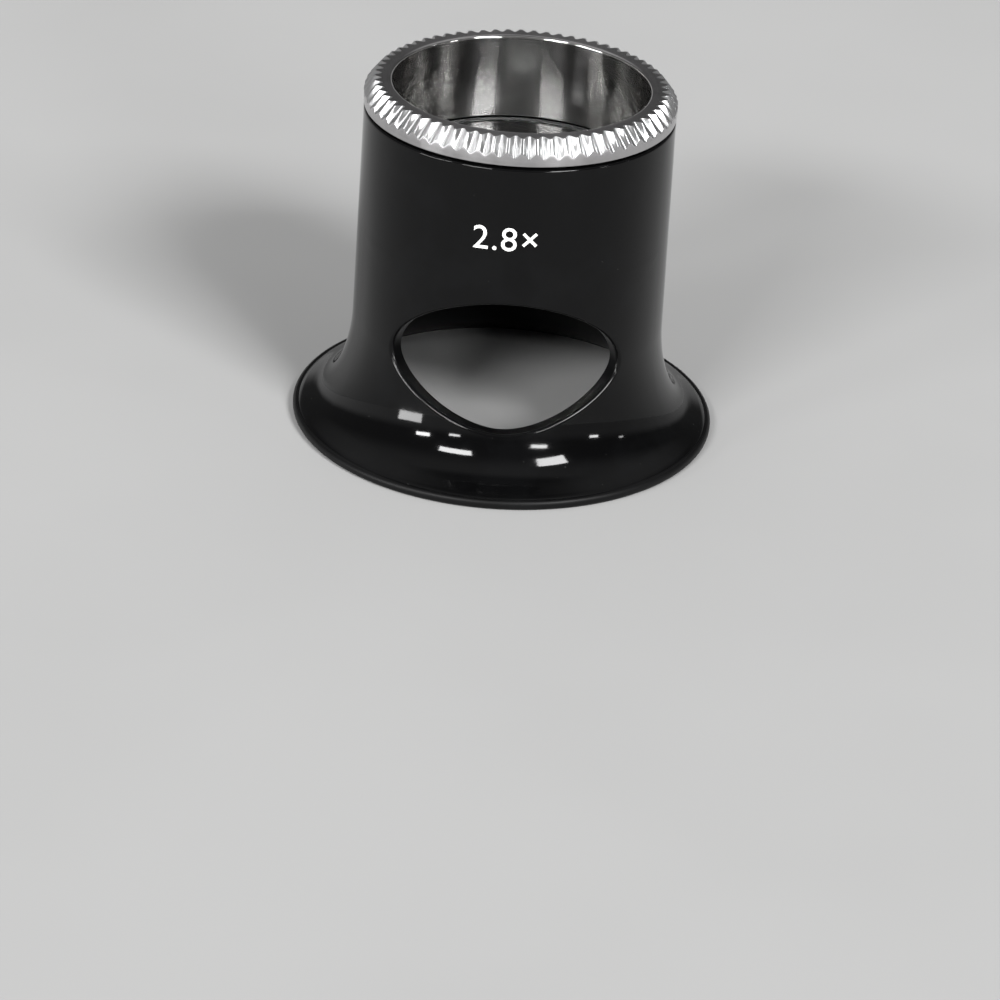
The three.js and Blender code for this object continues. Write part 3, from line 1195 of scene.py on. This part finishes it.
    def make(self) -> Object:
        """Builds the moulding.

        Returns:
            The piece, closed, with its cut face marked.
        """
        rows, firsts = self.profile()
        shell = Shell()
        turn = np.arange(self.columns) * 2 * math.pi / self.columns
        ring = np.stack([np.sin(turn), -np.cos(turn)], 1)
        loops = [shell.loop(np.column_stack([r * ring, np.full(self.columns, z)])) for r, z in rows]
        half = self.patch_columns // 2
        for k, loop in enumerate(loops):
            patched = any(first <= k < first + self.patch_rows for first in firsts)
            kept = range(half, self.columns - half) if patched else None
            shell.band(loop, loops[(k + 1) % len(loops)], kept)
        full, inside = self.window_outline(), self.window_outline(self.window_inner_share)
        wall = self.inner.from_front(inside[0]) - self.outer.from_front(full[0])
        marks: list[tuple[list[int], float]] = []
        chosen = None
        sides = []
        for skin, first, (outline, away), leaning, rounding in (
            (self.outer, firsts[0], full, wall, self.window_round),
            (self.inner, firsts[1], inside, -wall, self.window_inner_round),
        ):
            patch = loops[first:first + self.patch_rows + 1]
            if skin is self.inner:
                patch.reverse()
            previous = [patch[r][c - half] for r, c in self.border()]
            ends = np.array(
                [
                    [(c - half) * 2 * math.pi / self.columns, skin.runs[-1] * r / self.patch_rows]
                    for r, c in self.border()
                ]
            )
            edge = skin.edge(outline, away, leaning, rounding, self.round_steps)
            x, _, z = edge[0].T
            near = np.stack([np.arcsin(x / skin.radius_at(z)), skin.run_of(z)], 1)
            chosen = self.matched(ends, near) if chosen is None else chosen
            near = near[chosen]
            for q in range(1, self.patch_rings + 1):
                place = near + (ends - near) * (1 - q / self.patch_rings) ** self.patch_crowding
                loop = shell.loop(skin.round_about(*place.T))
                shell.band(previous, loop)
                previous = loop
            for i, row in enumerate(edge[1:, chosen], 1):
                loop = shell.loop(row)
                marks.append((loop, i / self.round_steps))
                shell.band(previous, loop)
                previous = loop
            sides.append(previous)
        front, back = sides
        previous = front
        for share in (i / self.wall_steps for i in range(1, self.wall_steps)):
            pairs = ((shell.points[a], shell.points[b]) for a, b in zip(front, back))
            loop = shell.loop([one * (1 - share) + other * share for one, other in pairs])
            marks.append((loop, 1.0))
            shell.band(previous, loop)
            previous = loop
        shell.band(previous, back)
        made = mesh_object("eyecup_moulding", shell.points, shell.faces)
        values = np.zeros(len(shell.points), np.float32)
        for loop, share in marks:
            values[loop] = share
        made.data.attributes.new("cut_face", "FLOAT", "POINT").data.foreach_set("value", values)
        tidy(made, self.crease_degrees)
        return made

    def build(self) -> None:
        """Makes and dresses the moulding and its thread."""
        dress(self.make(), Body.EYECUP, BLACK_PLASTIC, "eyecup")
        top = self.height - self.mouth_chamfer * 1.5
        root = self.thread.cup_root
        ridge = self.thread.ridge("eyecup_thread", BLACK_PLASTIC, root, False, self.thread_low, top)
        dress(ridge, Body.EYECUP, BLACK_PLASTIC)


@dataclass
class PowerMark:
    """The magnification printed on the barrel: a plain number and a times sign."""

    cup: Eyecup
    words: str = "2.8×"
    cap_height: float = 2.35
    baseline: float = 24.55
    middle: float = -0.65
    letter_gap_share: float = 1.08
    ink_thickness: float = 0.02
    ink_lift: float = 0.004
    finest: float = 0.25
    most_splits: int = 6
    flat_weld: float = 1e-5

    def build(self) -> None:
        """Makes the mark as a mesh wrapped round the barrel."""
        curve = bpy.data.curves.new("power_marking", "FONT")
        curve.body = self.words
        curve.space_character = self.letter_gap_share
        made = settled(add_object("power_marking_text", curve), "power_marking")
        tall = np.ptp([v.co.y for v in made.data.vertices])
        scale = self.cap_height / tall
        self.refine(made.data, self.finest / scale)
        x, y, _ = np.array([v.co for v in made.data.vertices]).T
        across = (x - (x.max() + x.min()) / 2) * scale + self.middle
        height = (y - y.min()) * scale + self.baseline
        radius = self.cup.outer_radius(height) + self.ink_lift
        angle = across / radius
        wrapped = np.stack([radius * np.sin(angle), -radius * np.cos(angle), height], 1) * MM
        made.data.vertices.foreach_set("co", wrapped.astype(np.float32).ravel())
        thick = made.modifiers.new("ink", "SOLIDIFY")
        thick.thickness = self.ink_thickness * MM
        thick.offset = 1
        dress(made, Body.EYECUP, WHITE_INK)

    def refine(self, mesh: Mesh, longest: float) -> None:
        """Splits the text's long edges so that it can follow the barrel.

        Args:
            mesh: the flat text.
            longest: the longest edge that is left.
        """
        shape = bmesh.new()
        shape.from_mesh(mesh)
        bmesh.ops.remove_doubles(shape, verts=shape.verts, dist=self.flat_weld)
        bmesh.ops.triangulate(shape, faces=shape.faces)
        for _ in range(self.most_splits):
            long = [e for e in shape.edges if e.calc_length() > longest]
            if not long:
                break
            bmesh.ops.subdivide_edges(shape, edges=long, cuts=1)
            bmesh.ops.triangulate(shape, faces=shape.faces)
        shape.to_mesh(mesh)
        shape.free()


@dataclass
class Lens:
    """The biconvex lens, alike on both faces."""

    edge: float = 2.0
    bevel: float = 0.2
    face_steps: int = 36
    columns: int = 192
    weld: float = 0.0005
    crease_degrees: float = 20.0

    def build(self) -> None:
        """Turns the lens from its outline."""
        low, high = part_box("lens")
        radius = high.x / MM
        middle = (high.z + low.z) / 2 / MM
        rise = ((high.z - low.z) / MM - self.edge) / 2
        curve = (radius**2 + rise**2) / (2 * rise)
        half = self.edge / 2
        steps = [(radius - self.bevel) * i / self.face_steps for i in range(self.face_steps + 1)]
        face = [(r, half + rise - curve + math.sqrt(curve**2 - r**2)) for r in steps]
        rim = [(radius, half - self.bevel), (radius, self.bevel - half)]
        outline = [(r, z + middle) for r, z in face + rim + [(r, -z) for r, z in reversed(face)]]
        values = {"Columns": self.columns, "Path Radius": radius * MM, "Weld": self.weld * MM}
        made = run_tree(outline_object("lens_glass", outline, False), lathe_tree(), LENS_GLASS, values)
        tidy(made, self.crease_degrees)
        dress(made, Body.LENS, LENS_GLASS, "lens")


@dataclass
class RetainingRing:
    """The knurled aluminium ring with its bore and threaded skirt."""

    thread: Thread
    head_height: float = 2.44
    head_edge: float = 0.1
    head_root_round: float = 0.05
    bore_radius: float = 12.42
    bore_chamfer: float = 0.3
    bore_foot_round: float = 0.05
    nose_radius: float = 13.0
    nose_chamfer: float = 0.3
    nose_round: float = 0.04
    thread_low: float = 28.3
    root_round: float = 0.02
    relief: float = 0.8
    teeth: int = 68
    crest_reach: float = 0.92
    groove_reach: float = 1.58
    crest_drop: float = 1.12
    groove_drop: float = 1.57
    crest_edge: float = 0.11
    crest_round: float = 0.03
    groove_edge: float = 0.42
    groove_round: float = 0.07
    phase_share: float = 0.31
    land_hold: float = 0.3
    land_rows: int = 3
    band_rows: int = 3
    knurl_rows: int = 4
    bore_steps: int = 5
    under_steps: int = 3
    longest: float = 1.4
    weld: float = 0.0005
    crease_degrees: float = 24.0

    def __post_init__(self) -> None:
        """Reads the outer sizes from the frame."""
        low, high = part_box("retaining_ring")
        self.head_radius = high.x / MM
        self.top = high.z / MM
        self.skirt_end = low.z / MM
        self.head_under = self.top - self.head_height

    def depth_share(self, tooth_share: float) -> float:
        """How deep the knurl is across a tooth: a crest, straight flanks and a rounded groove.

        Args:
            tooth_share: from -0.5 in one groove to 0.5 in the next, with the crest at 0.

        Returns:
            0 on the crest and 1 in the groove.
        """
        place = abs(tooth_share)
        slope = 1 / (self.groove_edge - self.crest_edge)
        if place < self.crest_edge + self.crest_round:
            into = max(0.0, place - self.crest_edge + self.crest_round)
            return slope * into**2 / (4 * self.crest_round)
        if place > self.groove_edge - self.groove_round:
            left = max(0.0, self.groove_edge + self.groove_round - place)
            return 1 - slope * left**2 / (4 * self.groove_round)
        return slope * (place - self.crest_edge)

    def section(self, tooth_share: float) -> tuple[list[Point], list[float]]:
        """The ring's closed section at one place across a tooth.

        Args:
            tooth_share: the place, as depth_share takes it.

        Returns:
            Radii and heights, and for each whether it lies on the knurl.
        """
        deep = self.depth_share(tooth_share)
        head, bore, root = self.head_radius, self.bore_radius, self.thread.ring_root
        middle = (self.skirt_end + self.top) / 2
        land_edge = head - self.crest_reach - (self.groove_reach - self.crest_reach) * deep
        band_edge = self.top - self.crest_drop - (self.groove_drop - self.crest_drop) * deep
        band_foot = self.head_under + self.head_edge * 2
        land_start = bore + self.bore_chamfer + self.land_hold
        inside = fillet(
            [(bore, middle, 0), (bore, self.top, self.bore_chamfer), (land_start, self.top, 0)],
            self.bore_steps,
        )
        land = between((land_start, self.top), (land_edge, self.top), self.land_rows)
        knurl = between((land_edge, self.top), (head, band_edge), self.knurl_rows)
        band = between((head, band_edge), (head, band_foot), self.band_rows)
        under = fillet(
            [
                (head, band_foot, 0),
                (head, self.head_under, self.head_edge),
                (root, self.head_under, self.head_root_round),
                (root, self.thread_low, self.root_round),
                (self.nose_radius, self.thread_low - self.nose_chamfer, self.root_round),
                (self.nose_radius, self.skirt_end + self.nose_chamfer, self.nose_round),
                (self.nose_radius - self.nose_chamfer, self.skirt_end, self.nose_round),
                (bore, self.skirt_end, self.bore_foot_round),
                (bore, middle, 0),
            ],
            self.under_steps,
        )
        before = densify(inside, self.longest)
        points = before + land + knurl + band + densify(under[1:], self.longest)[:-1]
        first = len(before) + len(land) - 1
        return points, [float(first <= i <= first + len(knurl)) for i in range(len(points))]

    def tooth_shares(self) -> list[float]:
        """Where the sector's columns lie across a tooth.

        Returns:
            Shares from -0.5 to 0.5, with columns on each flat's edges.
        """
        low, high = self.crest_edge + self.crest_round, self.groove_edge - self.groove_round
        crest = [0.0, self.crest_edge - self.crest_round, self.crest_edge]
        flank = [low, (low + high) / 2, high]
        groove = [self.groove_edge + self.groove_round * i / 2 for i in (-1, 0, 1, 2)]
        half = crest + flank + groove + [0.5]
        return [-share for share in reversed(half[1:])] + half

    def build(self) -> None:
        """Makes one tooth's sector of the ring, repeats it round the axis and adds the thread."""
        points, marks, faces = [], [], []
        previous = None
        for share in self.tooth_shares():
            outline, knurled = self.section(share)
            angle = 2 * math.pi * (share + self.phase_share) / self.teeth
            loop = range(len(points), len(points) + len(outline))
            points += [(r * math.cos(angle), r * math.sin(angle), z) for r, z in outline]
            marks += knurled
            if previous:
                faces += list(zip(previous, loop, [*loop[1:], loop[0]], [*previous[1:], previous[0]]))
            previous = loop
        sector = mesh_object("knurled_ring", points, faces)
        sector.data.attributes.new("knurl_face", "FLOAT", "POINT").data.foreach_set("value", marks)
        made = run_tree(sector, repeat_tree(), ALUMINIUM, {"Count": self.teeth, "Weld": self.weld * MM})
        tidy(made, self.crease_degrees)
        dress(made, Body.RING, ALUMINIUM, "retaining_ring")
        top = self.head_under - self.relief
        root = self.thread.ring_root
        ridge = self.thread.ridge("ring_thread", ALUMINIUM, root, True, self.thread_low, top)
        dress(ridge, Body.RING, ALUMINIUM)


# Studio


@dataclass(frozen=True)
class Lamp:
    """A soft rectangular lamp, placed by the direction that it shines from."""

    name: str
    azimuth: float
    elevation: float
    wide_degrees: float
    tall_degrees: float
    turn_degrees: float
    brightness: float
    distance: float = 6.0

    def build(self, target: Vector) -> None:
        """Hangs the lamp.

        Args:
            target: the point that it faces.
        """
        data = bpy.data.lights.new(self.name, "AREA")
        data.shape = "RECTANGLE"
        angles = self.wide_degrees, self.tall_degrees
        data.size, data.size_y = (2 * self.distance * math.tan(math.radians(angle / 2)) for angle in angles)
        data.energy = self.brightness * math.pi * data.size * data.size_y
        lamp = add_object(self.name, data)
        a, e, t = (math.radians(v) for v in (self.azimuth, self.elevation, self.turn_degrees))
        away = Vector((math.sin(a) * math.cos(e), -math.cos(a) * math.cos(e), math.sin(e)))
        across = Vector((math.cos(a), math.sin(a), 0))
        along = away.cross(across)
        turned = across * math.cos(t) + along * math.sin(t)
        axes = Matrix((turned, away.cross(turned), away)).transposed()
        lamp.location = target + away * self.distance
        lamp.rotation_euler = axes.to_euler()
        lamp.visible_camera = False


@dataclass
class Studio:
    """A pale table, a dim even room and soft lamps."""

    table_radius: float = 14.0
    table_corners: int = 64
    dim: float = 0.10
    horizon: float = 0.55
    horizon_fade: Pair = (0.10, 0.24)
    ceiling: float = 0.40
    ceiling_rise: Pair = (0.45, 0.82)
    ceiling_fall: Pair = (0.88, 0.99)
    side_share: float = 0.3
    lamps: tuple[Lamp, ...] = (
        Lamp("front_left_lamp", -29.5, 28.7, 19.5, 6, 5, 54),
        Lamp("front_right_lamp", 37.3, 35.5, 16.5, 12.4, -20, 46),
        Lamp("low_right_lamp", 26.4, 17.2, 10.3, 3.3, 0, 54),
        Lamp("low_left_lamp", -52.2, 14.9, 9.5, 3.2, -3, 66),
        Lamp("small_left_lamp", -30.2, 12, 7, 1.8, 0, 50),
        Lamp("side_left_lamp", -63.3, 1.3, 17.2, 9.1, 0, 27),
        Lamp("side_right_lamp", 64.8, 9.5, 6.5, 1.8, 0, 46),
        Lamp("far_right_lamp", 86, 12, 3, 1.2, 0, 22),
    )

    def build(self) -> None:
        """Makes the table, the room and the lamps."""
        self.table()
        self.room()
        target = Vector((0, 0, CAD_BOX[1].z / 2))
        for lamp in self.lamps:
            lamp.build(target)
        bpy.context.scene.view_settings.view_transform = "Standard"

    def table(self) -> None:
        """Makes the table top, level with the foot."""
        turn = [2 * math.pi * i / self.table_corners for i in range(self.table_corners)]
        radius = self.table_radius / MM
        edge = [(radius * math.cos(t), radius * math.sin(t), 0) for t in turn]
        top = mesh_object("table_top", edge, [range(self.table_corners)])
        top.data.materials.append(TABLE_TOP.material())

    def room(self) -> None:
        """Sets a world that is dim, with a pale horizon and a lit ring of ceiling."""
        world = bpy.data.worlds.new("room")
        bpy.context.scene.world = world
        world.use_nodes = True
        tree = Tree(world.node_tree)
        side, _, up = tree.parts(tree.node("ShaderNodeTexCoord")["Generated"])
        low = up.ramp(*self.horizon_fade, self.horizon, self.dim) * (1 - side * self.side_share)
        high = up.ramp(*self.ceiling_rise, 0.0, self.ceiling) * up.ramp(*self.ceiling_fall, 1.0, 0.0)
        background = world.node_tree.nodes["Background"]
        background.inputs["Color"].default_value = (1.0, 1.0, 1.0, 1.0)
        tree.feed(background.inputs["Strength"], low + high)


@dataclass(frozen=True)
class PhotoCamera:
    """The camera, where the photograph was taken from."""

    distance: float = 346.4
    elevation: float = 24.157
    aim_height: float = 18.44
    yaw: float = -0.067
    pitch: float = -4.159
    roll: float = -3.573
    focal_pixels: float = 3515.78
    image_pixels: float = 1000.0
    sensor: float = 36.0

    def build(self) -> None:
        """Makes the scene's camera."""
        data = bpy.data.cameras.new("photo_camera")
        data.sensor_width = self.sensor
        data.lens = self.focal_pixels * self.sensor / self.image_pixels
        data.clip_start = 0.01
        data.clip_end = 100.0
        camera = add_object("photo_camera", data)
        e = math.radians(self.elevation)
        aim = Vector((0, 0, self.aim_height * MM))
        camera.location = aim + Vector((0, -math.cos(e), math.sin(e))) * self.distance * MM
        forward = (aim - camera.location).normalized()
        right = forward.cross(Vector((0, 0, 1))).normalized()
        up = right.cross(forward)
        base = Matrix((right, up, -forward)).transposed()
        yaw = Matrix.Rotation(math.radians(self.yaw), 3, "Y")
        pitch = Matrix.Rotation(math.radians(self.pitch), 3, "X")
        roll = Matrix.Rotation(-math.radians(self.roll), 3, "Z")
        camera.rotation_euler = (base @ yaw @ pitch @ roll).to_euler()
        bpy.context.scene.camera = camera


def main() -> None:
    """Builds the loupe and the studio in order."""
    logging.basicConfig(level=logging.INFO, format="%(name)s: %(message)s")
    PhotoCamera().build()
    thread = Thread()
    cup = Eyecup(thread)
    cup.build()
    PowerMark(cup).build()
    Lens().build()
    RetainingRing(thread).build()
    Studio().build()


if __name__ == "__main__":
    main()
